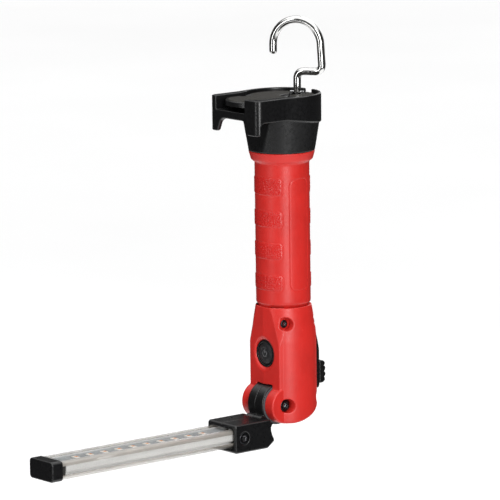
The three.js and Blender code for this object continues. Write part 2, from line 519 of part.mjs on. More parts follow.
function addArm() {
  const rear = [[-21.8, BLOCK.top], [-21.7, -3.7], [-20.9, -7], [-19.2, -9.7], [-24.6, BLOCK.low]];
  const outline = [[BLOCK.front, BLOCK.low], [BLOCK.front, BLOCK.top], ...rear];
  const block = prismX(outline, -BLOCK.halfWidth, BLOCK.halfWidth)
    .intersect(chamferedBox(BLOCK.halfWidth, BLOCK.front, -10, -20, 10, 1.6));
  const knuckle = bar('x', HINGE.knuckle, -HINGE.halfWidth, HINGE.halfWidth, [HINGE.y, HINGE.z], 40);
  const neckSide = [[-20, 5.2], [-24.4, 5.2], [-26.4, BLOCK.top], [-27, -8], [-20, -8.8], [-15.6, -0.9]];
  const neck = prismX(neckSide, -HINGE.halfWidth, HINGE.halfWidth);
  const socketEnd = -45.6;
  const [socketLow, socketTop] = [BAR.low - FIT, BAR.top + FIT];
  const socketHalf = BAR.halfWidth + FIT;
  const socket = roundedBar(socketHalf, socketLow, socketTop, BAR.corner, BLOCK.front - 1, socketEnd);
  const seat = SPINE.halfWidth + FIT;
  const spineSeat = box(-seat, seat, BLOCK.front, -38.2, SPINE.footLow - FIT, SPINE.top + 1);
  const wireWay = join(box(-2.2, 2.2, -40, -18, -5.2, -0.7), box(-2.2, 2.2, -19, HINGE.y, 3, 7),
    box(-2.2, 2.2, -22, -18, -5.2, 7));
  const screwAt = [-43.7, -5];
  const whole = cut(join(block, knuckle, neck), socket, spineSeat, wireWay,
    bar('x', HINGE.bore, -9, 9, [HINGE.y, HINGE.z]), bar('x', 1.6, -20, 20, screwAt, 12),
    bar('x', 4, 12.5, 20, screwAt), bar('x', 4, -20, -12.5, screwAt));
  const screw = { head: 3.7, headLength: 1, shank: 1.4, shankLength: 5.4, socket: 1.6 };
  for (const [side, sign] of [['left', -1], ['right', 1]]) {
    const half = sign > 0 ? box(FIT / 2, 30, -60, 10, -30, 40) : box(-30, -FIT / 2, -60, 10, -30, 40);
    place(`arm_base_${side}`, whole.intersect(half), BLACK);
    place(`arm_screw_${side}`, capScrew('x', screwAt, sign * 12.6, sign, screw), DARK_STEEL);
  }

  const { halfWidth, low, top, wall, corner, near, far } = BAR;
  const lens = cut(roundedBar(halfWidth, low, top, corner, far, near),
    roundedBar(halfWidth - wall, low + wall, top - wall, corner - wall, far - 1, near + 1));
  place('lens_tube', lens, CLEAR);

  const channel = roundedBar(SPINE.halfWidth, SPINE.low, SPINE.top, 1.7, SPINE.far, SPINE.near);
  const foot = box(-SPINE.footHalf, SPINE.footHalf, SPINE.far, near - 1, SPINE.footLow, SPINE.low + 0.1);
  const bed = box(-8.4, 8.4, SPINE.far - 1, near, -2.2, 1);
  const leadBed = box(-1.6, 1.6, near - 1, SPINE.near + 1, -2.2, 1);
  const spine = cut(join(channel, foot), bed, leadBed,
    bar('x', 1.55, -11, -7, screwAt, 12), bar('x', 1.55, 7, 11, screwAt, 12));
  place('bar_spine', spine, ALUMINIUM);
  const route = [
    [-14, 5], [-18.6, 4.6], [-20, 2], [-20.6, -1.5], [-24, -3.2], [-32, -3.2], [-37.2, -1.6], [-46.7, -1.4],
  ];
  const lead = new THREE.CatmullRomCurve3(route.map(([y, z]) => new THREE.Vector3(0, y, z)));
  place('arm_lead', wire(lead, 0.6, 18, 6), RUBBER);
  place('led_board', box(-8.1, 8.1, SPINE.far + 0.4, near - 0.4, -2.1, -1.1), BOARD);
  for (let i = 0; i < LED.count; i += 1) {
    const y = LED.first + LED.pitch * i;
    const name = `led_${String(i + 1).padStart(2, '0')}`;
    const [across, along] = [LED.width / 2, LED.length / 2];
    place(name, box(-across, across, y - along, y + along, -1.05, -0.3), PHOSPHOR);
  }

  const cap = roundedBar(CAP.halfWidth, CAP.low, CAP.top, 2.6, CAP.far, CAP.near);
  const inset = wall + 0.3;
  const plug = roundedBar(halfWidth - inset, low + inset, top - inset, 1.7, CAP.near - 0.1, -178.4);
  place('bar_end_cap', join(cap, plug), BLACK);
  const ring = (y0, y1) => cut(roundedBar(halfWidth, low, top, corner, y0, y1),
    roundedBar(halfWidth - wall, low + wall, top - wall, corner - wall, y0 - 1, y1 + 1));
  place('base_gasket', ring(near + FIT, socketEnd - FIT), RUBBER);
}

addGrip();
addHousing();
addHinge();
addInside();
addButton();
addSlide();
addHead();
addHook();
addArm();

export default light;
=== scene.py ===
"""Looks of the folding work light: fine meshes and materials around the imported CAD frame.

Shapes are worked out in millimetres in the light's own place: X = Y = 0 on the handle's axis and Z = 0 at
the foot of the hinge housing. to_row() takes them to the row frame, in metres, from the CAD pieces' boxes.
Most moulded pieces are distance fields: a function gives the distance to the surface, less than zero inside,
and field_mesh() turns it into a mesh, so that edges and inner corners are rounded as moulded ones are.
"""

import json
import math

import bmesh
import bpy
import numpy as np
from mathutils import Matrix, Vector

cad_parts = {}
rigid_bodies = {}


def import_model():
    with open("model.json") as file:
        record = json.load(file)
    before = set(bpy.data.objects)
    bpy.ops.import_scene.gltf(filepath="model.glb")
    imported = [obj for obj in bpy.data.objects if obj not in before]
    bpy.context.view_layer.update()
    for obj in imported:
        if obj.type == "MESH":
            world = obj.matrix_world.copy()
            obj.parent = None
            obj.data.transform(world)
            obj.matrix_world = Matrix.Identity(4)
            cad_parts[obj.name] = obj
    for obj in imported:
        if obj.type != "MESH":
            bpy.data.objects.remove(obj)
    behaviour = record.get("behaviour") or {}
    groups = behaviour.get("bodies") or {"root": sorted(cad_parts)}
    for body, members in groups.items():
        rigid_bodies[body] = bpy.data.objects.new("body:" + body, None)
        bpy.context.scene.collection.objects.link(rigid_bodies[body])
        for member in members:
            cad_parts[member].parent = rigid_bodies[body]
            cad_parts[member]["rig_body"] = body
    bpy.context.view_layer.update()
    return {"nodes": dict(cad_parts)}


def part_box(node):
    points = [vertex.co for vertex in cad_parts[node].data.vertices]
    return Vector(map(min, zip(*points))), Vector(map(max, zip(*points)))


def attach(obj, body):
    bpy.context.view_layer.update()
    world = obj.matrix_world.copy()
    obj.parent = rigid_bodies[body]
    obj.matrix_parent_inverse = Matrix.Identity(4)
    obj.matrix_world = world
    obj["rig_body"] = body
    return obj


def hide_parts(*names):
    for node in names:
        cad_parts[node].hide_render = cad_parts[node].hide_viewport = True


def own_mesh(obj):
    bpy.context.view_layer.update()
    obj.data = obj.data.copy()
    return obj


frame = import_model()

MM = 0.001
grip_low, grip_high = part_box("grip_tube")
AXIS_Y = (grip_low.y + grip_high.y) / 2
FOOT_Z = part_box("housing_front")[0].z


def to_row(points):
    """Millimetres in the light's own place to metres in the row frame."""
    return np.asarray(points, float) * MM + np.array([0, AXIS_Y, FOOT_Z])


def local(node):
    """Lowest and highest corner of a CAD node, in millimetres in the light's own place."""
    shift = Vector((0, AXIS_Y, FOOT_Z))
    return tuple(np.array((corner - shift) / MM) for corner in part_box(node))


# ---------------------------------------------------------------- driving dimensions, millimetres

HINGE_Y, HINGE_Z = -11.2, 11.2  # axis of the arm's hinge, which runs along x
EAR, EAR_IN, EAR_OUT = 11.2, 7.6, 15.2  # the housing's ears: radius, and half widths between and over them
KNUCKLE, KNUCKLE_HALF = 12.9, 7.1  # radius and half width of the arm's knuckle
BODY = 20.2  # radius of the hinge housing
BODY_TOP = local("housing_front")[1][2]
RAIL = (14.3, -15.75)  # (x, y) of the ridge between the housing's flank and its front
SPLIT = 12.1  # y of the joint between the housing's two shells
TUBE = 17.0  # radius of the grip
BUTTON_Z, BUTTON, BUTTON_HOLE = 42.7, 6.7, 8.6  # the button's height and radius, and its hole's radius
TUBE_TOP = local("grip_tube")[1][2]
CUP_LOW, RIM = TUBE_TOP + 0.25, local("head_bracket")[1][2]  # foot and top edge of the black head
PIVOT = np.array([0.0, 13.0, 203.9])  # where the hook turns and folds
CUP, FORK, FORK_TIP = 24.7, 23.4, -38  # radius of the head's band, half width of its fork, y of its tips
RECESS = 22.6  # radius of the recess that holds the deck
WIRE = 2.35  # radius of the hook's wire
GROOVE_END = -20.0  # the hook's groove in the deck stops here on its way towards -y
HOOK_TURN = math.radians(30)  # the hook's plane at rest, from the x axis
SLIDE_SLOT = (-3.4, 15, 21.6), (3.4, 26, 36.4)  # corners of the hole that the thumb slide's neck runs in
SCREW_HOLE = 1.6  # radius of a clearance hole
SIDE_SCREW = (-10.8, 62.6)  # (y, z) of the screws between housing and tube
ARM_SCREW = (-43.7, -5.0)  # (y, z) of the screws in the arm's base


# ---------------------------------------------------------------- distance fields


def meet(a, b, r=0.0):
    """What is inside both, with the edge between them rounded to radius r."""
    if r <= 0:
        return np.maximum(a, b)
    rounded = np.hypot(np.maximum(a + r, 0), np.maximum(b + r, 0))
    return np.minimum(np.maximum(a, b), -r) + rounded


def join(a, b, r=0.0):
    """What is inside either, with a fillet of radius r between them."""
    return -meet(-a, -b, r)


def cut(a, b, r=0.0):
    """a without b, with the edge of the cut rounded to radius r."""
    return meet(a, -b, r)


def between(u, low, high):
    return np.maximum(low - u, u - high)


def block(x, y, z, low, high, r=0.0):
    """A box with all edges rounded to radius r."""
    sides = [between(u, a + r, b - r) for u, a, b in zip((x, y, z), low, high)]
    outside = np.sqrt(sum(np.maximum(s, 0) ** 2 for s in sides))
    return outside + np.minimum(np.maximum(np.maximum(sides[0], sides[1]), sides[2]), 0) - r


def line(u, v, a, b):
    """Distance to the left of the line from a to b, so inside an outline that runs counter-clockwise."""
    along = np.array(b, float) - a
    along /= np.hypot(*along)
    return (u - a[0]) * along[1] - (v - a[1]) * along[0]


def outline(u, v, points):
    """Distance to a closed outline, less than zero inside."""
    nearest, odd = np.inf, False
    for a, b in zip(points, points[1:] + points[:1]):
        du, dv = b[0] - a[0], b[1] - a[1]
        t = np.clip(((u - a[0]) * du + (v - a[1]) * dv) / (du * du + dv * dv), 0, 1)
        nearest = np.minimum(nearest, (u - a[0] - t * du) ** 2 + (v - a[1] - t * dv) ** 2)
        if dv:
            odd = odd ^ (((a[1] > v) != (b[1] > v)) & (u < a[0] + (v - a[1]) * du / dv))
    return np.where(odd, -1.0, 1.0) * np.sqrt(nearest)


def arc(centre, radius, start, end, count=12):
    """Points on an arc, angles in degrees."""
    angles = np.radians(np.linspace(start, end, count + 1))
    return [(centre[0] + radius * math.cos(t), centre[1] + radius * math.sin(t)) for t in angles]


# ---------------------------------------------------------------- meshes

CORNERS = [(i, j, k) for i in (0, 1) for j in (0, 1) for k in (0, 1)]
CELL_EDGES = [(a, b) for a in CORNERS for b in CORNERS if a < b and sum(np.abs(np.subtract(a, b))) == 1]


def crossing_faces(inside, ids, axis):
    """One four-cornered face round each grid edge along an axis that goes through the surface."""
    first, second = (axis + 1) % 3, (axis + 2) % 3
    near = [slice(1, -1)] * 3
    near[axis] = slice(0, -1)
    far = list(near)
    far[axis] = slice(1, None)
    leaves = inside[tuple(near)]
    places = np.argwhere(leaves != inside[tuple(far)])
    outward = leaves[tuple(places.T)]
    places[:, first] += 1
    places[:, second] += 1
    around = []
    for back_first, back_second in ((1, 1), (0, 1), (0, 0), (1, 0)):
        cell = places.copy()
        cell[:, first] -= back_first
        cell[:, second] -= back_second
        around.append(ids[tuple(cell.T)])
    faces = np.stack(around, 1)
    return np.where(outward[:, None], faces, faces[:, ::-1])


def slope_of(field, points, reach):
    """The field's value and gradient at scattered points."""
    sides = []
    for axis in range(3):
        step = np.zeros(3)
        step[axis] = reach
        sides.append((field(*(points + step).T) - field(*(points - step).T)) / (2 * reach))
    return field(*points.T), np.stack(sides, 1)


EVENING_ROUNDS = 3
PROBE = 0.05  # share of a grid step over which the slope is taken
LONGEST_PULL = 0.6  # share of a grid step
LEAST_SLOPE_SQUARED = 0.2


def field_mesh(field, low, high, step):
    """Vertices and faces of the surface where the field is zero, as an evened-out net drawn onto it."""
    starts = np.array(low, float) - 1.5 * step
    counts = np.ceil((np.array(high) - starts) / step + 2).astype(int)
    axes = [start + step * np.arange(count) for start, count in zip(starts, counts)]
    values = field(axes[0][:, None, None], axes[1][None, :, None], axes[2][None, None, :])
    values = np.array(np.broadcast_to(values, counts), np.float32)
    inside = values < 0
    filled = sum(inside[i : i + counts[0] - 1, j : j + counts[1] - 1, k : k + counts[2] - 1].astype(np.int8)
                 for i, j, k in CORNERS)
    mixed = (filled > 0) & (filled < 8)
    cells = np.argwhere(mixed)
    ids = np.full(mixed.shape, -1, np.int32)
    ids[mixed] = np.arange(len(cells))
    corner = {c: values[tuple((cells + c).T)] for c in CORNERS}
    total, hits = np.zeros((len(cells), 3)), np.zeros(len(cells))
    for a, b in CELL_EDGES:
        crossed = (corner[a] < 0) != (corner[b] < 0)
        share = np.where(crossed, corner[a] / np.where(crossed, corner[a] - corner[b], 1), 0)
        total += crossed[:, None] * (np.array(a) + share[:, None] * np.subtract(b, a))
        hits += crossed
    points = starts + step * (cells + total / hits[:, None])
    faces = np.concatenate([crossing_faces(inside, ids, axis) for axis in range(3)])
    meeting = np.bincount(faces.ravel(), minlength=len(points))
    for _ in range(EVENING_ROUNDS):
        middles = np.repeat(points[faces].mean(1), 4, axis=0)
        sums = [np.bincount(faces.ravel(), middles[:, k], len(points)) for k in range(3)]
        points = np.stack(sums, 1) / meeting[:, None]
        for _ in range(2):
            value, slope = slope_of(field, points, PROBE * step)
            size = np.maximum((slope**2).sum(1), LEAST_SLOPE_SQUARED)
            pull = np.clip(value / size, -LONGEST_PULL * step, LONGEST_PULL * step)
            points = points - pull[:, None] * slope
    return points, faces


def mesh_object(name, points, faces):
    """A new object from points in millimetres. Faces are an array of four corners each, or a list of any."""
    mesh = bpy.data.meshes.new(name)
    if isinstance(faces, list):
        mesh.from_pydata(to_row(points).tolist(), [], faces)
        tidy = bmesh.new()
        tidy.from_mesh(mesh)
        bmesh.ops.remove_doubles(tidy, verts=tidy.verts, dist=1e-8)
        bmesh.ops.recalc_face_normals(tidy, faces=tidy.faces)
        tidy.to_mesh(mesh)
        tidy.free()
    else:
        mesh.vertices.add(len(points))
        mesh.vertices.foreach_set("co", to_row(points).astype(np.float32).ravel())
        mesh.loops.add(faces.size)
        mesh.loops.foreach_set("vertex_index", faces.astype(np.int32).ravel())
        mesh.polygons.add(len(faces))
        mesh.polygons.foreach_set("loop_start", np.arange(0, faces.size, 4, dtype=np.int32))
        mesh.update(calc_edges=True)
    made = bpy.data.objects.new(name, mesh)
    bpy.context.scene.collection.objects.link(made)
    return made


def piece(node, shape, finish, smooth=True, bevel=0.0):
    """A visible piece that stands for a CAD node and rides on that node's body."""
    made = mesh_object(node + "_shape", *shape)
    made.data.materials.append(finish)
    made.data.polygons.foreach_set("use_smooth", np.full(len(made.data.polygons), smooth))
    if bevel:
        edge = made.modifiers.new("bevel", "BEVEL")
        edge.width = bevel * MM
        edge.segments = 2
        edge.limit_method = "ANGLE"
        edge.angle_limit = math.radians(30)
        edge.harden_normals = smooth
    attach(made, frame["nodes"][node]["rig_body"])
    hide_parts(node)
    return made


def second_finish(made, finish, chosen):
    """Gives another material to the faces whose centres, in millimetres, are chosen."""
    centres = np.zeros(len(made.data.polygons) * 3)
    made.data.polygons.foreach_get("center", centres)
    x, y, z = ((centres.reshape(-1, 3) - np.array([0, AXIS_Y, FOOT_Z])) / MM).T
    made.data.materials.append(finish)
    index = len(made.data.materials) - 1
    current = np.zeros(len(x), np.int32)
    made.data.polygons.foreach_get("material_index", current)
    changed = np.where(chosen(x, y, z), index, current)
    made.data.polygons.foreach_set("material_index", changed.astype(np.int32))


def rings(rows, closed=True):
    """A skin over rings that all have the same number of points.

    Closed joins the last ring to the first. Otherwise both get a lid.
    """
    rows = np.asarray(rows)
    count, around = rows.shape[:2]
    index = np.arange(count * around).reshape(count, around)
    after, beside = np.roll(index, -1, 0), np.roll(index, -1, 1)
    faces = np.stack([index, beside, np.roll(beside, -1, 0), after], 2)
    if closed:
        return rows.reshape(-1, 3), faces.reshape(-1, 4).tolist()
    lids = [index[0, ::-1].tolist(), index[-1].tolist()]
    return rows.reshape(-1, 3), faces[:-1].reshape(-1, 4).tolist() + lids


def turned(profile, around=96, centre=(0, 0), axis="z"):
    """A closed (radius, height) profile turned about z through centre (x, y), or about y through (z, x)."""
    angles = np.linspace(0, 2 * np.pi, around, endpoint=False)
    rows = []
    for radius, height in profile:
        first, second = centre[0] + radius * np.cos(angles), centre[1] + radius * np.sin(angles)
        along = np.full(around, float(height))
        rows.append(np.stack([second, along, first] if axis == "y" else [first, second, along], 1))
    return rings(rows)


def rounded_profile(corners, radius, count=4):
    """A closed profile with its corners rounded. Corners run counter-clockwise."""
    points = []
    for i, here in enumerate(corners):
        here = np.array(here, float)
        before, after = np.array(corners[i - 1]), np.array(corners[(i + 1) % len(corners)])
        arms = [(p - here) / np.hypot(*(p - here)) for p in (before, after)]
        room = min(np.hypot(*(before - here)), np.hypot(*(after - here))) / 2
        reach = min(radius, room)
        a, b = here + reach * arms[0], here + reach * arms[1]
        for t in np.linspace(0, 1, count + 1):
            points.append(tuple((1 - t) ** 2 * a + 2 * t * (1 - t) * here + t * t * b))
    return points


DOME = 0.97  # how much of a quarter turn a wire's domed end makes before its flat lid


def swept(path, radius, around, cap_rings=6):
    """A round wire along a path, with domed ends."""
    path = np.asarray(path, float)
    ahead = np.gradient(path, axis=0)
    ahead /= np.linalg.norm(ahead, axis=1)[:, None]
    angles = np.linspace(0, 2 * np.pi, around, endpoint=False)
    side = np.cross(ahead[0], [0.3, 0.2, 0.9])
    spokes = []
    for along in ahead:
        side = side - along * (side @ along)
        side /= np.linalg.norm(side)
        other = np.cross(along, side)
        spokes.append(radius * (np.cos(angles)[:, None] * side + np.sin(angles)[:, None] * other))
    rows = [centre + spoke for centre, spoke in zip(path, spokes)]
    for turn in np.linspace(0, DOME * np.pi / 2, cap_rings + 1)[1:]:
        out, share = radius * np.sin(turn), np.cos(turn)
        rows.insert(0, path[0] - out * ahead[0] + share * spokes[0])
        rows.append(path[-1] + out * ahead[-1] + share * spokes[-1])
    return rings(rows, closed=False)


def rounded_rectangle(half, low, high, corner, count=8):
    """A rounded rectangle from -half to half and from low to high."""
    centres = [(half - corner, low + corner, -90), (half - corner, high - corner, 0),
               (corner - half, high - corner, 90), (corner - half, low + corner, 180)]
    return [p for u, v, start in centres for p in arc((u, v), corner, start, start + 90, count)]


# ---------------------------------------------------------------- materials


class Finish:
    """A material built up in steps: a plain surface first, then what varies over it."""

    def __init__(self, name, colour, roughness, metallic=0.0, **constants):
        self.material = bpy.data.materials.new(name)
        self.material.use_nodes = True
        self.tree = self.material.node_tree
        self.shader = self.tree.nodes["Principled BSDF"]
        self.shader.inputs["Base Color"].default_value = (*colour, 1)
        self.shader.inputs["Roughness"].default_value = roughness
        self.shader.inputs["Metallic"].default_value = metallic
        for socket, value in constants.items():
            self.shader.inputs[socket.replace("_", " ")].default_value = value
        self.colour, self.last_colour, self.normal = colour, None, None
        self.place = self.node("ShaderNodeTexCoord").outputs["Object"]

    def node(self, kind, inputs=None, **settings):
        made = self.tree.nodes.new(kind)
        for key, value in settings.items():
            setattr(made, key, value)
        for key, value in (inputs or {}).items():
            if isinstance(value, bpy.types.NodeSocket):
                self.tree.links.new(value, made.inputs[key])
            else:
                made.inputs[key].default_value = value
        return made

    def noise(self, size, detail=3.0, stretch=(1, 1, 1)):
        """Smooth noise whose blotches are about that many millimetres across."""
        place = self.node("ShaderNodeMapping", {"Vector": self.place, "Scale": stretch}).outputs[0]
        made = self.node("ShaderNodeTexNoise", {"Vector": place, "Scale": 1 / (size * MM), "Detail": detail})
        return made.outputs["Fac"]

    def cells(self, size):
        """Distance to the nearest of scattered points that are about that many millimetres apart."""
        made = self.node("ShaderNodeTexVoronoi", {"Vector": self.place, "Scale": 1 / (size * MM)})
        return made.outputs["Distance"]

    def ramp(self, value, low, high, to_low=0.0, to_high=1.0):
        made = self.node("ShaderNodeMapRange", {0: value, 1: low, 2: high, 3: to_low, 4: to_high})
        made.clamp = True
        return made.outputs[0]

    def edges(self):
        """0 on flat faces, up to 1 along outer edges."""
        return self.ramp(self.node("ShaderNodeNewGeometry").outputs["Pointiness"], 0.53, 0.62)

    def tint(self, colour, amount):
        """Mixes another colour in by an amount that varies over the surface."""
        under = self.last_colour or (*self.colour, 1)
        made = self.node("ShaderNodeMix", {0: amount, 6: under, 7: (*colour, 1)}, data_type="RGBA")
        self.last_colour = made.outputs[2]
        self.tree.links.new(self.last_colour, self.shader.inputs["Base Color"])

    def gloss(self, value, low, high):
        """Roughness between two ends, by a value that varies over the surface."""
        self.tree.links.new(self.ramp(value, 0.3, 0.7, low, high), self.shader.inputs["Roughness"])

    def bump(self, height, depth):
        """Small relief, at most that many millimetres deep."""
        inputs = {"Height": height, "Distance": depth * MM, "Strength": 1.0}
        if self.normal:
            inputs["Normal"] = self.normal
        self.normal = self.node("ShaderNodeBump", inputs).outputs[0]
        self.tree.links.new(self.normal, self.shader.inputs["Normal"])


def moulded(name, colour, roughness, grain=0.28, depth=0.02, worn=None, edge=0.25, shine=0.5, scuff=0.16):
    """Moulded plastic: fine spark texture, faint flow marks, and edges that have rubbed paler."""
    made = Finish(name, colour, roughness, Specular_IOR_Level=shine)
    made.tint(tuple(c * 0.86 for c in colour), made.ramp(made.noise(14, 2), 0.42, 0.68, 0, 0.7))
    pale = worn or tuple(min(1, c * 1.6 + 0.02) for c in colour)
    made.tint(pale, made.ramp(made.edges(), 0, 1, 0, edge))
    made.tint(pale, made.ramp(made.noise(2.4, 5, (1, 1, 0.35)), 0.68, 0.8, 0, scuff))
    made.gloss(made.noise(1.8, 4), roughness - 0.06, roughness + 0.07)
    made.bump(made.noise(grain, 2), depth)
    made.bump(made.noise(5, 2), 0.02)
    return made.material


def metal(name, colour, roughness, spread=0.05, scratch=(1, 1, 1), depth=0.004, metallic=1.0):
    """Metal with handling marks and fine scratches. An anodised skin is less metallic than a bare one."""
    made = Finish(name, colour, roughness, metallic)
    made.tint(tuple(c * 0.72 for c in colour), made.ramp(made.noise(3.5, 5, scratch), 0.5, 0.75, 0, 0.5))
    made.gloss(made.noise(1.2, 4, scratch), max(0.02, roughness - spread), roughness + spread)
    made.bump(made.noise(0.5, 3, scratch), depth)
    return made.material


def rubber(name, colour, roughness=0.62):
    """Soft rubber: dusty in patches and dull."""
    made = Finish(name, colour, roughness, Specular_IOR_Level=0.35)
    made.tint((0.2, 0.19, 0.18), made.ramp(made.noise(3, 5), 0.5, 0.8, 0, 0.12))
    made.tint(tuple(min(1, c * 2.2) for c in colour), made.ramp(made.edges(), 0, 1, 0, 0.3))
    made.gloss(made.noise(1.5), roughness - 0.08, roughness + 0.08)
    made.bump(made.noise(0.22, 2), 0.018)
    return made.material


RED = (0.59, 0.019, 0.014)
BLACK = (0.005, 0.005, 0.0055)

red_shell = moulded("red_shell", RED, 0.42, worn=(0.78, 0.06, 0.05))
red_grip = moulded("red_grip", (0.56, 0.015, 0.012), 0.3, grain=0.5, depth=0.06,
                   worn=(0.85, 0.25, 0.2), edge=0.6)
black_shell = moulded("black_shell", BLACK, 0.31, grain=0.35, depth=0.009,
                      worn=(0.035, 0.036, 0.038), edge=0.2, scuff=0.05)
# A brown-grey paler than the black head: painted sheen for the light that the deck's flat top reflects, laid
# on the raised inlay
inlay_painted_sheen = moulded("inlay_painted_sheen", (0.017, 0.015, 0.011), 0.5, grain=0.5, depth=0.03,
                     worn=(0.04, 0.038, 0.034), shine=0.22)
button_rubber = rubber("button_rubber", (0.014, 0.014, 0.016), 0.5)
seal_rubber = rubber("seal_rubber", (0.012, 0.012, 0.012))
hook_chrome = metal("hook_chrome", (0.7, 0.7, 0.69), 0.12, 0.04, depth=0.002)
screw_steel = metal("screw_steel", (0.05, 0.05, 0.055), 0.3, 0.08)
socket_steel = metal("socket_steel", (0.3, 0.3, 0.31), 0.25, 0.06)
pin_steel = metal("pin_steel", (0.55, 0.56, 0.57), 0.22, 0.06, scratch=(1, 1, 0.2))
spine_aluminium = metal("spine_aluminium", (0.9, 0.91, 0.92), 0.42, 0.08, scratch=(1, 0.03, 1),
                        depth=0.008, metallic=0.15)
contact_brass = metal("contact_brass", (0.62, 0.42, 0.16), 0.3, 0.1)
cradle_plastic = moulded("cradle_plastic", (0.03, 0.03, 0.032), 0.5)
washer_nylon = moulded("washer_nylon", (0.05, 0.055, 0.06), 0.4, worn=(0.2, 0.21, 0.23))
mark_grey = moulded("mark_grey", (0.1, 0.1, 0.104), 0.5)
cell_wrap = moulded("cell_wrap", (0.02, 0.09, 0.22), 0.3, grain=1.2)
lead_red = moulded("lead_red", (0.45, 0.02, 0.02), 0.45)
lead_black = moulded("lead_black", (0.015, 0.015, 0.015), 0.45)


def board_finish(name, colour, copper, trace):
    """Circuit board: solder mask with the copper tracks showing faintly through it."""
    made = Finish(name, colour, 0.35, Coat_Weight=0.3)
    bricks = made.node("ShaderNodeTexBrick", {"Vector": made.place, "Scale": 1 / (trace * MM)})
    made.tint(copper, made.ramp(bricks.outputs["Fac"], 0.2, 0.8, 0, 0.6))
    made.tint(tuple(c * 0.8 for c in colour), made.ramp(made.noise(2), 0.45, 0.75, 0, 0.5))
    made.gloss(made.noise(1), 0.28, 0.42)
    made.bump(bricks.outputs["Fac"], 0.03)
    return made.material


circuit_board = board_finish("circuit_board", (0.01, 0.11, 0.04), (0.03, 0.2, 0.07), 2.5)
led_board_white = board_finish("led_board_white", (0.36, 0.39, 0.42), (0.28, 0.31, 0.34), 9)


def phosphor_finish():
    """The yellow-orange window of a white light-emitting diode, unlit."""
    made = Finish("led_phosphor", (0.8, 0.25, 0.04), 0.45, Coat_Weight=0.3)
    made.tint((0.85, 0.38, 0.1), made.ramp(made.noise(0.8), 0.4, 0.7))
    made.gloss(made.noise(0.4), 0.35, 0.55)
    made.bump(made.cells(0.15), 0.02)
    return made.material


def package_finish():
    """The white ceramic body of a diode."""
    made = Finish("led_package", (0.86, 0.85, 0.82), 0.4)
    made.tint((0.75, 0.73, 0.68), made.ramp(made.noise(0.7), 0.5, 0.75))
    made.gloss(made.noise(0.5), 0.32, 0.5)
    made.bump(made.noise(0.2), 0.01)
    return made.material


def lens_finish(name, body, low, high):
    """Clear plastic that lets most light straight through. low and high are the ends of its smokiness."""
    made = Finish(name, body, 0.16, Specular_IOR_Level=0.5)
    made.tint(tuple(1.2 * c for c in body), made.ramp(made.noise(6, 3, (1, 0.2, 1)), 0.4, 0.7))
    made.gloss(made.noise(2.5, 4, (1, 0.15, 1)), 0.1, 0.2)
    made.bump(made.noise(1.6, 2, (1, 0.1, 1)), 0.01)
    clear = made.node("ShaderNodeBsdfTransparent", {"Color": (0.97, 0.965, 0.955, 1)})
    amount = made.ramp(made.noise(4, 2, (1, 0.3, 1)), 0.3, 0.7, low, high)
    mixed = made.node("ShaderNodeMixShader", {0: amount, 1: clear.outputs[0], 2: made.shader.outputs[0]})
    out = next(n for n in made.tree.nodes if n.type == "OUTPUT_MATERIAL")
    made.tree.links.new(mixed.outputs[0], out.inputs["Surface"])
    return made.material


led_phosphor = phosphor_finish()
led_package = package_finish()
lens_clear = lens_finish("lens_clear", (0.35, 0.34, 0.32), 0.05, 0.08)
lens_edge = lens_finish("lens_edge", (0.4, 0.375, 0.34), 0.5, 0.62)


# ---------------------------------------------------------------- shapes of the moulded pieces


def housing(x, y, z):
    """Both shells of the hinge housing as one, before it is split.

    A round body that narrows towards the tube, a flat front between two ridges, a swept-up underside, the
    ears round the hinge pin, the slot that the knuckle turns in, the bore, and the holes for pin and screws.
    """
    radius, width = np.hypot(x, y), np.abs(x)
    flare = [(BODY, 55), (19.2, 62), (18.3, 68.4), (17.5, BODY_TOP)]
    shape = radius - BODY
    for low, high in zip(flare, flare[1:]):
        shape = meet(shape, line(radius, z, low, high), 0.6)
    shape = meet(shape, z - BODY_TOP, 0.5)
    rail = outline(width, y, [(6, -8), (6, -20), (14.3, -20), RAIL, (15.3, -13.1), (11, -8)])
    rail = meet(rail, line(radius, z, (21.6, 47), (18.9, 62)), 0.2)
    shape = np.minimum(shape, rail)
    shape = meet(shape, line(width, y, (0, -16.9), RAIL), 0.25)
    underside = [(y, 9.8 * ((y + 7) / 27.2) ** 1.45) for y in (-7, -2, 4, 10, 16, 22, 28)]
    underside += [(30, 80), (HINGE_Y - EAR, 80)]
    side = arc((HINGE_Y, HINGE_Z), EAR, 180, 270) + underside
    shape = meet(shape, outline(y, z, side), 1.3)
    off_pin = np.hypot(y - HINGE_Y, z - HINGE_Z)
    ears = meet(off_pin - EAR, width - EAR_OUT, 1.0)
    shape = join(shape, ears, 0.25)
    swept_by_neck = [(0.3, 7.6), (2, 7.6), (7.5, 5.9), (9.4, 5), (9.4, -3), (-11, -3), (-11, 7.6)]
    slot = np.minimum(off_pin - KNUCKLE - 0.6, outline(y, z, swept_by_neck))
    slot = np.minimum(slot, np.maximum(y - HINGE_Y, z - HINGE_Z))
    shape = cut(shape, np.maximum(slot, width - EAR_IN), 0.45)
    bore = np.minimum(np.maximum(radius - 14.5, 27 - z), np.maximum(radius - 15.1, 56.8 - z))
    shape = np.maximum(shape, -bore)
    shape = cut(shape, np.minimum(off_pin - 2.6, np.maximum(off_pin - 4.35, 11.2 - width)), 0.5)
    off_screw = np.hypot(y - SIDE_SCREW[0], z - SIDE_SCREW[1])
    return cut(shape, np.minimum(off_screw - SCREW_HOLE, np.maximum(off_screw - 4.1, 12.6 - width)), 0.5)


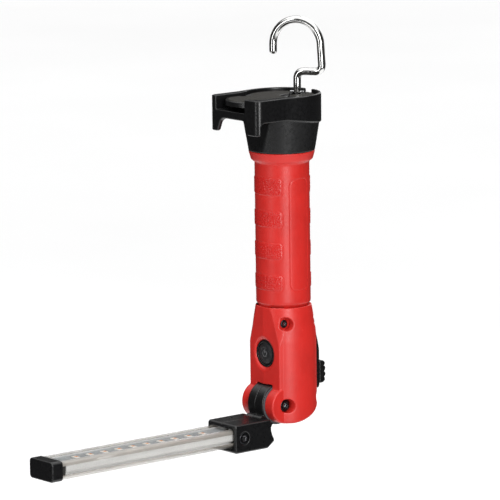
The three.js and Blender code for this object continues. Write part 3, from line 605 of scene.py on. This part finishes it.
def housing_front(x, y, z):
    """The front shell, with the button's hole, the dish round it and the hole for the lock pin."""
    off_button = np.hypot(x, z - BUTTON_Z)
    shape = cut(housing(x, y, z), np.maximum(off_button - BUTTON_HOLE, y + 10), 0.2)
    slant = 0.74
    dish = (y + 15.3 + slant * (off_button - BUTTON_HOLE)) / math.hypot(1, slant)
    shape = cut(shape, dish, 0.6)
    shape = np.maximum(shape, -np.maximum(np.hypot(x, z - 16) - 2.26, between(y, -5, 20)))
    return meet(shape, y - SPLIT + 0.1, 0.2)


def housing_rear(x, y, z):
    """The rear shell, with its four screw holes and the seat and slot of the thumb slide."""
    shape = meet(housing(x, y, z), SPLIT + 0.1 - y, 0.2)
    width = np.abs(x)
    for at_x, at_z in ((11.9, 61.5), (12.5, 13.2)):
        off = np.hypot(width - at_x, z - at_z)
        shape = cut(shape, np.minimum(off - 1.5, np.maximum(off - 3.3, 12.85 - y)), 0.4)
    shape = np.maximum(shape, -block(x, y, z, (-6.3, 10, 12.5), (6.3, 18, 49.8)))
    return cut(shape, block(x, y, z, *SLIDE_SLOT), 0.2)


def fork_plan(x, y):
    """The head seen from above: a round cup and the fork's block in front of it."""
    block_plan = meet(meet(np.abs(x) - FORK, FORK_TIP - y, 4.0), y, 1.0)
    return join(np.hypot(x, y) - CUP, block_plan, 4.0)


def deck_plan(x, y, gap):
    """The recess for the deck seen from above: a circle, and a nose that bows out between the fork's tips."""
    nose = np.hypot(x, np.minimum(y + 19.5, 0)) - 19.5 + gap
    nose = meet(meet(nose, np.abs(x) - 17.3 + gap, 1.0), y - 5)
    return join(np.hypot(x, y) - RECESS + gap, nose, 1.5)


def head_bracket(x, y, z):
    """The black head: a cup with a flat facet, and a band round its rim that runs out into the fork."""
    radius, width = np.hypot(x, y), np.abs(x)
    cup = meet(line(radius, z, (20.55, CUP_LOW), (24.15, 190.6)), CUP_LOW - z, 0.35)
    cup = meet(np.maximum(cup, radius - 24.4), z - RIM, 0.5)
    facet = y + 20.75 - 0.05 * (z - CUP_LOW) + 0.12 * np.maximum(width - 6.2, 0)
    cup = cut(cup, np.maximum(facet, z - 191.5), 0.35)
    lower_edge = np.maximum(190.85 - 0.14 * np.maximum(y + 14, 0), 187.0)
    below = join(lower_edge - z, meet(y + 35.2, 183 - z, 1.2), 2.6)
    wrap = meet(meet(fork_plan(x, y), z - RIM, 0.6), below, 0.55)
    shape = join(cup, wrap, 0.4)
    inner = np.where(x < 0, 12.4 + 0.43 * (191.6 - z), 10.6 + 0.26 * (191.6 - z))
    gap = meet(width - inner, z - 191.4, 3.0)
    shape = cut(shape, np.maximum(gap, y + 20.4), 0.6)
    spigot = np.maximum(radius - 17.6, between(z, 164.8, CUP_LOW + 0.5))
    shape = np.minimum(shape, spigot)
    hollow = np.interp(np.ravel(z), (164.8, 171.25, 192, 205), (15, 16.5, 21.2, 21.2)).reshape(z.shape)
    shape = np.maximum(shape, hollow - radius)
    shape = cut(shape, np.maximum(deck_plan(x, y, 0), 199.3 - z), 0.3)
    pocket = np.maximum(np.maximum(between(x, -17.3, 10.5), y + 26), 196.2 - z)
    shape = cut(shape, pocket, 0.35)
    notch = np.maximum(np.maximum(np.abs(x + 1.5) - 3.2, 18 - y), 202.4 - z)
    return cut(shape, notch, 0.7)


def hook_line(count=14):
    """The hook's centre line as (across, along): a shank, a jog, and a loop that comes back over its base."""
    jog, reach, loop, top, tip = 12.9, 16.6, 15.6, 29.3, 25.2
    points = [(0, h) for h in np.linspace(0, jog - 5, 5)]

    def bend(*ends):
        a, b, c = (np.array(end) for end in ends)
        for t in np.linspace(0, 1, count)[1:]:
            points.append(tuple((1 - t) ** 2 * a + 2 * t * (1 - t) * b + t * t * c))

    bend((0, jog - 5), (0, jog), (5, jog))
    points.extend((w, jog) for w in np.linspace(5, reach - 5, 5)[1:])
    bend((reach - 5, jog), (reach, jog), (reach - 0.3, jog + 5))
    points.extend(zip(np.linspace(reach - 0.3, loop, 6)[1:], np.linspace(jog + 5, top, 6)[1:]))
    points.extend(arc((0, top), loop, 0, 180, 44)[1:])
    points.extend((-loop, h) for h in np.linspace(top, tip, 5)[1:])
    return np.array(points)


def off_stowed_hook(x, y):
    """Distance from the line that the hook's wire takes when it lies in the deck."""
    nearest = np.inf
    stowed = [(across, PIVOT[1] - along) for across, along in hook_line(5)[::2]]
    for a, b in zip(stowed, stowed[1:]):
        du, dv = b[0] - a[0], b[1] - a[1]
        t = np.clip(((x - a[0]) * du + (y - a[1]) * dv) / (du * du + dv * dv), 0, 1)
        nearest = np.minimum(nearest, np.hypot(x - a[0] - t * du, y - a[1] - t * dv))
    return nearest


def head_deck(x, y, z):
    """The plate in the head's recess, with its raised inlay and the groove that the hook folds into."""
    plan = deck_plan(x, y, 0.2)
    shape = meet(meet(plan, z - 202.55, 0.45), 199.5 - z, 0.2)
    inlay = np.maximum(meet(plan + 1.5, z - 203.0, 0.3), 200 - z)
    nose = np.maximum(np.maximum(plan, between(x, -17, 10.2)), np.maximum(y + 26.3, between(z, 197.0, 200)))
    shape = np.minimum(np.minimum(shape, inlay), nose)
    groove = np.hypot(off_stowed_hook(x, y), z - PIVOT[2]) - WIRE - 0.3
    shape = cut(shape, np.maximum(groove, GROOVE_END - y), 0.35)
    return cut(shape, np.hypot(x, y - PIVOT[1]) - 5.1, 0.25)


def hook_drum(x, y, z):
    """The swivel in the deck: a post with two cheeks that hold the hook's pin between them."""
    radius = np.hypot(x, y - PIVOT[1])
    post = meet(radius - 5, between(z, 194.5, 203), 0.3)
    post = np.maximum(post, -np.maximum(3.7 - radius, between(z, 197.6, 199)))
    along = x * math.cos(HOOK_TURN) + (y - PIVOT[1]) * math.sin(HOOK_TURN)
    across = (y - PIVOT[1]) * math.cos(HOOK_TURN) - x * math.sin(HOOK_TURN)
    rounded = np.hypot(across, np.maximum(z - PIVOT[2] + 0.9, 0)) - 1.7
    cheeks = np.maximum(meet(rounded, np.abs(along) - 4.6, 0.4), 202 - z)
    shape = join(post, cheeks, 0.4)
    shape = cut(shape, np.maximum(np.abs(along) - 2.65, 201.2 - z), 0.2)
    return np.maximum(shape, 0.83 - np.hypot(across, z - PIVOT[2]))


def arm_base(x, y, z):
    """The arm's base with its knuckle, both halves as one."""
    width = np.abs(x)
    side = [(-49.2, -12.2), (-49.2, 2.1), (-23.6, 2.1), (-23.5, -3.3)]
    side += [(-22.7, -6.4), (-21.3, -9.2), (-25.4, -12.2)]
    shape = meet(outline(y, z, side) - 1.8, width - 13.7, 1.3)
    off_pin = np.hypot(y - HINGE_Y, z - HINGE_Z)
    knuckle = meet(off_pin - KNUCKLE, width - KNUCKLE_HALF, 0.45)
    neck_side = [(-20, 5.2), (-24.4, 5.2), (-26.4, 3.9), (-27, -8), (-20, -8.8), (-15.6, -0.9)]
    neck = meet(outline(y, z, neck_side), width - KNUCKLE_HALF, 0.4)
    shape = join(shape, np.minimum(knuckle, neck), 0.5)
    socket = np.maximum(meet(width - 11.5, between(z, -10.8, 1.3), 3.0), y + 45.6)
    shape = cut(shape, socket, 0.5)
    seat = np.maximum(np.maximum(width - 10, between(z, -9.3, 0.6)), y + 38.2)
    lead_way = np.minimum(block(x, y, z, (-2.2, -40, -5.2), (2.2, -18, -0.7)),
                          block(x, y, z, (-2.2, -22, -5.2), (2.2, -18, 7)))
    lead_way = np.minimum(lead_way, block(x, y, z, (-2.2, -19, 3), (2.2, HINGE_Y, 7)))
    shape = np.maximum(np.maximum(shape, -seat), -lead_way)
    shape = cut(shape, off_pin - 2.58, 0.2)
    off_screw = np.hypot(y - ARM_SCREW[0], z - ARM_SCREW[1])
    return cut(shape, np.minimum(off_screw - SCREW_HOLE, np.maximum(off_screw - 4, 12.5 - width)), 0.4)


def slide_bezel(x, y, z):
    """The thumb slide's track on the housing's back."""
    side = [(16.5, 17.9), (22.3, 17.2), (22.9, 18.3), (22.9, 41), (21.8, 46.8), (20.6, 51.4), (16.5, 51.4)]
    shape = meet(outline(y, z, side) - 0.6, np.abs(x) - 6.5, 0.9)
    shape = cut(shape, np.hypot(x, y) - 20.4, 0.1)
    return cut(shape, block(x, y, z, *SLIDE_SLOT), 0.3)


def lock_slide(x, y, z):
    """The thumb slide: a ribbed pad, the neck through the slot, and the plate behind it."""
    low, high, ribs = 19.2, 33.7, 4
    phase = (z - low) / (high - low) * ribs
    face = 27.5 + 1.45 * np.sqrt(np.abs(np.sin(np.pi * phase)) + 1e-6) - 1.5 * np.abs(phase / 2 - 1) ** 4
    width = np.abs(x)
    pad = meet(meet(y - face, 23.8 - y, 0.3), between(z, low, high), 0.7)
    pad = meet(pad, width - 6, 0.9)
    neck = block(x, y, z, (-3, 15.4, 22), (3, 24.5, 30))
    plate = block(x, y, z, (-5.6, 15.4, 18.4), (5.6, 17.4, 31), 0.3)
    return np.minimum(np.minimum(pad, neck), plate)


def end_cap(x, y, z):
    """The cap on the light bar's far end, with the plug that holds it in the lens."""
    low, high = local("bar_end_cap")
    shell = meet(meet(np.abs(x) - 11.6, between(z, low[2], high[2]), 2.4), between(y, low[1], -181.4), 0.9)
    plug = meet(meet(np.abs(x) - 9.8, between(z, -9.1, -0.4), 1.7), between(y, -183, -178.4), 0.2)
    return np.minimum(shell, plug)


def power_mark(u, v):
    """Distance to the usual power sign: an open ring with a bar in its gap."""
    ring = np.abs(np.hypot(u, v) - 1.85) - 0.27
    ring = np.maximum(ring, 0.62 * v - np.abs(u))
    stroke = np.hypot(u, v - np.clip(v, 0.5, 2.5)) - 0.27
    return np.minimum(ring, stroke)


def button_cap(x, y, z):
    """The button: slightly domed, with a dished middle and the power sign raised in it."""
    off = np.hypot(x, z - BUTTON_Z)
    top = 16.0 - 0.9 * (off / BUTTON) ** 2.5
    step = np.clip((off - 3.6) / 0.35, 0, 1)
    top = top - 0.3 * (1 - step * step * (3 - 2 * step))
    top = top + 0.25 * np.clip(0.5 - power_mark(x, z - BUTTON_Z) / 0.2, 0, 1)
    shape = meet(meet(off - BUTTON, -y - top, 0.5), y + 14.4, 0.2)
    return np.minimum(shape, np.maximum(off - 2.4, between(y, -14.6, -13.6)))


def cap_screw(head, length, shank_length, socket):
    """Distance to a socket-head screw whose head stands on t = 0, with its face towards +t."""

    def field(u, v, t):
        off = np.hypot(u, v)
        shape = meet(off - head, between(t, 0, length), 0.45)
        shape = np.minimum(shape, np.maximum(off - SHANK, between(t, -shank_length, 0.1)))
        hexagon = np.maximum(np.abs(v), np.abs(0.866 * u) + np.abs(0.5 * v)) - socket
        return cut(shape, np.maximum(hexagon, 0.35 * length - t), 0.12)

    return field


# ---------------------------------------------------------------- the handle's pieces

PAD_ROWS = [(83.3, 92.5), (102.9, 112.5), (122.8, 132.4), (142.7, 153.1)]
PAD_REACH, PAD_CORNER, PAD_RISE = 49, 2.2, 0.15  # degrees to each side of its middle, then millimetres
GRAIN_PITCH, GRAIN_RISE = 1.15, 0.26
LABEL_REACH, LABEL_LOW, LABEL_HIGH, LABEL_CORNER = 24, 82.9, 152.4, 4.2
TUBE_AROUND = 380  # points round the tube


def smooth(value):
    value = np.clip(value, 0, 1)
    return value * value * (3 - 2 * value)


def off_patch(angle, z, middle, reach, low, high, corner):
    """Distance over the tube's skin to a patch that is centred on an angle in degrees."""
    turn = np.abs((angle - middle + 180) % 360 - 180) - reach
    along = turn * math.radians(1) * TUBE + corner
    up = between(z, low, high) + corner
    return np.hypot(np.maximum(along, 0), np.maximum(up, 0)) + np.minimum(np.maximum(along, up), 0) - corner


def off_pads(angle, z):
    """Distance over the tube's skin to the nearest of its grained pads."""
    places = [(side, *row) for side in (-90, 90) for row in PAD_ROWS]
    return np.minimum.reduce([
        off_patch(angle, z, side, PAD_REACH, low, high, PAD_CORNER) for side, low, high in places])


def grains(angle, z):
    """Height, up to 1, of little rounded grains: one somewhere in each cell of a grid on the tube's skin."""
    around = round(2 * np.pi * TUBE / GRAIN_PITCH)
    u, v = (angle % 360) / 360 * around, z / GRAIN_PITCH
    places = np.random.default_rng(5).random((3, around, 256))
    height = np.zeros(np.shape(u))
    for i in (-1, 0, 1):
        for j in (-1, 0, 1):
            cell = (np.floor(u).astype(int) + i) % around, np.floor(v).astype(int) + j
            across = np.floor(u) + i + 0.25 + 0.5 * places[0][cell] - u
            up = np.floor(v) + j + 0.25 + 0.5 * places[1][cell] - v
            grain = 1 - (across**2 + up**2) / (0.2 + 0.08 * places[2][cell])
            height = np.maximum(height, grain)
    return height


def grip_tube():
    """The tube as rings: up the outside over pads and label, over the rim, and down the bore."""
    low, high = local("grip_tube")[0][2], TUBE_TOP
    side = [(14.3, low), (14.8, low + 0.5), (14.8, 72.3), (16.1, 72.35), (16.1, 73.7), (16.75, 74.1)]
    side += [(TUBE, 74.8)]
    side += [(TUBE, z) for z in np.arange(76.5, 81.5, 1.0)]
    side += [(TUBE, z) for z in np.arange(81.6, 154.8, 0.385)]
    side += [(TUBE, z) for z in np.arange(155.5, 161.5, 1.0)]
    side += [(TUBE, 161.8), (17.25, 162.3), (18.7, 163.4), (19.15, 163.9), (19.4, 164.6), (20.5, 168.5)]
    side += [(20.55, 168.8), (20.3, high), (17.95, high), (17.9, 164.5), (15.1, 164.5), (13.4, 163)]
    side += [(13.4, low)]
    angle = np.linspace(0, 360, TUBE_AROUND, endpoint=False)
    rows = []
    for radius, z in side:
        reach = np.full(angle.shape, float(radius))
        if radius == TUBE:
            off = off_pads(angle, z)
            rough = grains(angle, np.full(angle.shape, z)) * smooth(-off / 0.8)
            reach += PAD_RISE * smooth(0.5 - off / 0.5) + GRAIN_RISE * rough
            reach -= 0.16 * smooth(1 - np.abs(off - 0.45) / 0.5)
            off = off_patch(angle, z, 0, LABEL_REACH, LABEL_LOW, LABEL_HIGH, LABEL_CORNER)
            reach -= 0.1 * smooth(0.5 - off / 0.5) + 0.3 * smooth(1 - np.abs(off) / 0.5)
        turn = np.radians(angle)
        rows.append(np.stack([reach * np.cos(turn), reach * np.sin(turn), np.full(angle.shape, float(z))], 1))
    return rings(rows)


def field_piece(node, field, step, finish=black_shell):
    """A piece from a distance field, within the CAD node's box."""
    return piece(node, field_mesh(field, *local(node), step), finish)


def on_pads(x, y, z):
    return (np.hypot(x, y) > 16) & (off_pads(np.degrees(np.arctan2(y, x)), z) < 0)


tube = piece("grip_tube", grip_tube(), red_shell)
second_finish(tube, red_grip, on_pads)

FINE = 0.42  # grid step of the large moulded pieces
field_piece("housing_front", housing_front, FINE, red_shell)
field_piece("housing_rear", housing_rear, FINE * 1.25, red_shell)
field_piece("head_bracket", head_bracket, FINE * 1.1)
deck = field_piece("head_deck", head_deck, FINE)
# The raised inlay's top faces, outside the hook's groove, take the paler brown-grey: painted sheen on the
# deck's top
second_finish(deck, inlay_painted_sheen,
              lambda x, y, z: (z > 202.7) & ((off_stowed_hook(x, y) > 2.8) | (y < GROOVE_END)))
field_piece("slide_bezel", slide_bezel, 0.4)
field_piece("lock_slide", lock_slide, 0.32)
button = field_piece("button_cap", button_cap, 0.14, button_rubber)
second_finish(button, mark_grey, lambda x, y, z: (power_mark(x, z - BUTTON_Z) < 0) & (y < -15.5))

SPRING_TURNS, SPRING_WIRE = 8, 0.32
low, high = local("slide_spring")
turn = np.linspace(0, 2 * np.pi * SPRING_TURNS, 24 * SPRING_TURNS + 1)
middle, reach = (low + high) / 2, (high[0] - low[0]) / 2 - SPRING_WIRE
rise = np.linspace(low[2] + SPRING_WIRE, high[2] - SPRING_WIRE, len(turn))
coil = np.stack([middle[0] + reach * np.cos(turn), middle[1] + reach * np.sin(turn), rise], 1)
spring = piece("slide_spring", swept(coil, SPRING_WIRE, 12, 3), pin_steel)
held_end = to_row((middle[0], middle[1], high[2]))
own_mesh(spring)

ring = rounded_profile([(6.95, -15.4), (8.4, -15.4), (8.4, -13.5), (6.95, -13.5)], 0.4)
piece("button_bezel", turned(ring, 72, (BUTTON_Z, 0), "y"), black_shell)
for node in ("housing_seal", "head_seal"):
    low, high = local(node)
    outer, half = high[0], (high[2] - low[2]) / 2
    hoop = [(outer - half + half * math.cos(t), low[2] + half + half * math.sin(t))
            for t in np.arange(0, 6.2, 0.4)]
    piece(node, turned(hoop), seal_rubber)


# ---------------------------------------------------------------- the hook and its swivel

across_and_up = hook_line()
direction = np.array([math.cos(HOOK_TURN), math.sin(HOOK_TURN), 0])
wire = PIVOT + across_and_up[:, :1] * direction + across_and_up[:, 1:] * np.array([0, 0, 1])
piece("hook", swept(wire, WIRE, 40), hook_chrome)
field_piece("hook_drum", hook_drum, 0.3)


# ---------------------------------------------------------------- the arm's pieces

SEAM = 0.04  # half the gap between the halves of the arm's base
BLOCK_MORE = 2  # the block reaches this much further towards -y than the CAD one
for side, sign in (("left", -1), ("right", 1)):
    half = lambda x, y, z, sign=sign: meet(arm_base(x, y, z), SEAM - sign * x, 0.15)
    low, high = local("arm_base_" + side)
    made = field_mesh(half, low - [0, BLOCK_MORE, 0], high, FINE)
    piece("arm_base_" + side, made, black_shell)

LENS_LOW, LENS_HIGH = local("lens_tube")
LENS_WALL = 1.2
outer = rounded_rectangle(LENS_HIGH[0], LENS_LOW[2], LENS_HIGH[2], 3.0)
inner = rounded_rectangle(LENS_HIGH[0] - LENS_WALL, LENS_LOW[2] + LENS_WALL, LENS_HIGH[2] - LENS_WALL, 1.9)
loops = [(outer, LENS_LOW[1]), (outer, LENS_HIGH[1]), (inner, LENS_HIGH[1]), (inner, LENS_LOW[1])]
walls = rings([[(x, y, z) for x, z in loop] for loop, y in loops])
lens = piece("lens_tube", walls, lens_clear)
second_finish(lens, lens_edge,
              lambda x, y, z: (np.abs(x) > 8.6) & (between(z, LENS_LOW[2] + 3, LENS_HIGH[2] - 3) > 0))

field_piece("bar_end_cap", end_cap, 0.34)
low, high = local("led_board")
corners = [(low[0], low[2]), (high[0], low[2]), (high[0], high[2]), (low[0], high[2])]
board = rings([[(x, y, z) for x, z in corners] for y in (low[1], high[1])], closed=False)
piece("led_board", board, led_board_white, smooth=False, bevel=0.08)
for number in range(1, 11):
    node = f"led_{number:02d}"
    low, high = local(node)
    face = lambda x, y, z, low=low, high=high: block(x, y, z, low, high, 0.12)
    made = piece(node, field_mesh(face, low, high, 0.22), led_package)
    middle = (low[1] + high[1]) / 2
    second_finish(made, led_phosphor, lambda x, y, z, top=high[2], middle=middle: (
        (z > top - 0.1) & (np.abs(x) < 1.3) & (between(y, middle - 0.4, middle + 2.1) < 0)))


# ---------------------------------------------------------------- screws

SCREW_TURNS = {"x": ((0, 1, 0), (0, 0, 1), (1, 0, 0)), "y": ((0, 0, 1), (1, 0, 0), (0, 1, 0))}
SHANK = 1.55  # radius


def screw(node, axis, outward, head, length, socket, sunk=0.0):
    """A socket-head screw in the place of a CAD node, with its head towards one end of the axis.

    head is the head's radius, length its height, socket half the key's width, and sunk how far the head's
    face stays below the CAD head's.
    """
    low, high = local(node)
    index = "xyz".index(axis)
    centre = (low + high) / 2
    seat = high[index] - length if outward > 0 else low[index] + length
    shank_length = high[index] - low[index] - length
    length -= sunk
    field = cap_screw(head, length, shank_length, socket)
    points, faces = field_mesh(field, (-head, -head, -shank_length), (head, head, length), 0.26)
    u, v, along = np.array(SCREW_TURNS[axis], float)
    centre[index] = seat
    placed = centre + points[:, :1] * u + outward * points[:, 1:2] * v + outward * points[:, 2:] * along
    made = piece(node, (placed, faces), screw_steel)
    second_finish(made, socket_steel, lambda x, y, z: (
        (outward * ((x, y, z)[index] - seat) < 0.4 * length)
        & (outward * ((x, y, z)[index] - seat) > 0.2 * length)
        & (np.sqrt(sum(((x, y, z)[k] - centre[k]) ** 2 for k in range(3) if k != index)) < socket + 0.4)))


for side, sign in (("left", -1), ("right", 1)):
    screw("side_screw_" + side, "x", sign, head=2.6, length=2.2, socket=1.25, sunk=1.3)
    screw("hinge_screw_" + side, "x", sign, head=3.7, length=2.8, socket=1.7)
    screw("arm_screw_" + side, "x", sign, head=3.7, length=1.0, socket=1.6)
    screw("rear_screw_upper_" + side, "y", 1, head=2.2, length=1.5, socket=1.0, sunk=1.1)
    screw("rear_screw_lower_" + side, "y", 1, head=2.3, length=1.5, socket=1.0, sunk=1.0)


# ---------------------------------------------------------------- finishes for the CAD pieces that stay

KEPT = [
    (pin_steel, "hinge_pin battery_spring lock_pin hook_pin hook_clip"),
    (washer_nylon, "hinge_washer_left hinge_washer_right hook_washer"),
    (contact_brass, "battery_contact positive_contact"),
    (cradle_plastic, "battery_cradle tactile_switch"),
    (cell_wrap, "battery_cell"), (circuit_board, "driver_board"), (spine_aluminium, "bar_spine"),
    (lead_red, "power_lead"), (lead_black, "arm_lead"), (seal_rubber, "base_gasket"),
]
for finish, nodes in KEPT:
    for node in nodes.split():
        materials = frame["nodes"][node].data.materials
        materials.clear()
        materials.append(finish)


# ---------------------------------------------------------------- floor, lights and camera


def floor_finish():
    """A pale studio floor with the faintest unevenness."""
    made = Finish("floor", (0.93, 0.93, 0.93), 0.9)
    made.tint((0.9, 0.9, 0.9), made.ramp(made.noise(900), 0.4, 0.7))
    made.gloss(made.noise(300), 0.85, 0.95)
    return made.material


FLOOR_SIZE, FLOOR_Z = 40, -0.6  # below the light bar when it hangs straight down
bpy.ops.mesh.primitive_plane_add(size=FLOOR_SIZE, location=(0, 0, FLOOR_Z))
floor = bpy.context.object
floor.name = "floor"
floor.data.materials.append(floor_finish())
floor.visible_diffuse = False
floor.visible_glossy = False

SKY = [(0.2, 0.8), (0.3, 0.03), (0.75, 0.03), (0.87, 1.0)]  # (place from straight down to up, brightness)
BACKDROP = 0.96


def studio_sky(strength):
    """Light from above and below with a dark band between, as a studio lights gloss, and a white backdrop."""
    world = bpy.data.worlds.new("studio")
    world.use_nodes = True
    tree = world.node_tree
    add, link = tree.nodes.new, tree.links.new
    place = add("ShaderNodeTexCoord")
    split = add("ShaderNodeSeparateXYZ")
    height = add("ShaderNodeMapRange")
    height.inputs[1].default_value = -1
    shades = add("ShaderNodeValToRGB")
    while len(shades.color_ramp.elements) < len(SKY):
        shades.color_ramp.elements.new(1)
    for stop, (at, shade) in zip(shades.color_ramp.elements, SKY):
        stop.position = at
        stop.color = (shade, shade, shade, 1)
    background = tree.nodes["Background"]
    background.inputs["Strength"].default_value = strength
    backdrop = add("ShaderNodeBackground")
    backdrop.inputs["Color"].default_value = (BACKDROP, BACKDROP, BACKDROP, 1)
    seen = add("ShaderNodeLightPath")
    choice = add("ShaderNodeMixShader")
    link(seen.outputs["Is Camera Ray"], choice.inputs[0])
    link(background.outputs[0], choice.inputs[1])
    link(backdrop.outputs[0], choice.inputs[2])
    link(choice.outputs[0], tree.nodes["World Output"].inputs["Surface"])
    link(place.outputs["Generated"], split.inputs[0])
    link(split.outputs["Z"], height.inputs[0])
    link(height.outputs[0], shades.inputs[0])
    link(shades.outputs[0], background.inputs["Color"])
    return world


bpy.context.scene.world = studio_sky(1.75)

LIGHTS_AIM = Vector((0, AXIS_Y, -0.125))


def direction_to(azimuth, elevation):
    """Unit vector towards an azimuth, from -Y towards +X, and an elevation, both in degrees."""
    turn, rise = math.radians(azimuth), math.radians(elevation)
    return Vector((math.sin(turn) * math.cos(rise), -math.cos(turn) * math.cos(rise), math.sin(rise)))


def area_light(name, azimuth, elevation, distance, size, power):
    """A soft light that faces the middle of the object from a direction in degrees."""
    away = direction_to(azimuth, elevation)
    lamp = bpy.data.lights.new(name, "AREA")
    lamp.shape = "RECTANGLE"
    lamp.size, lamp.size_y = size
    lamp.energy = power
    made = bpy.data.objects.new(name, lamp)
    facing = away.to_track_quat("Z", "Y").to_matrix().to_4x4()
    made.matrix_world = Matrix.Translation(LIGHTS_AIM + distance * away) @ facing
    bpy.context.scene.collection.objects.link(made)


area_light("key", 68, 12, distance=1.7, size=(0.45, 1.6), power=26)
area_light("front", 2, 8, distance=1.8, size=(0.25, 1.5), power=6.5)
area_light("back", 215, 20, distance=1.8, size=(0.5, 1.2), power=5)

VIEW_AZIMUTH, VIEW_ELEVATION, VIEW_ROLL = 50.37, 9.56, math.radians(0.739)
VIEW_DISTANCE, VIEW_LENS = 2.623, 304.6  # metres and millimetres
AIM_RIGHT, AIM_UP = -0.0204, -0.0147  # how far beside the target the camera points, in metres
back = direction_to(VIEW_AZIMUTH, VIEW_ELEVATION)
right = Vector((math.cos(math.radians(VIEW_AZIMUTH)), math.sin(math.radians(VIEW_AZIMUTH)), 0))
target = Vector((0, AXIS_Y, -0.12525))
place = target + VIEW_DISTANCE * back
aim = target + AIM_RIGHT * right + AIM_UP * back.cross(right)
looking = (place - aim).normalized()
across = Vector((0, 0, 1)).cross(looking).normalized()
axes = Matrix((across, looking.cross(across), looking)).transposed().to_4x4()
camera = bpy.data.objects.new("camera", bpy.data.cameras.new("camera"))
camera.matrix_world = Matrix.Translation(place) @ axes @ Matrix.Rotation(-VIEW_ROLL, 4, "Z")
camera.data.lens = VIEW_LENS
camera.data.sensor_width = 36
camera.data.clip_end = 100
bpy.context.scene.collection.objects.link(camera)
bpy.context.scene.camera = camera
bpy.context.scene.view_settings.view_transform = "Standard"
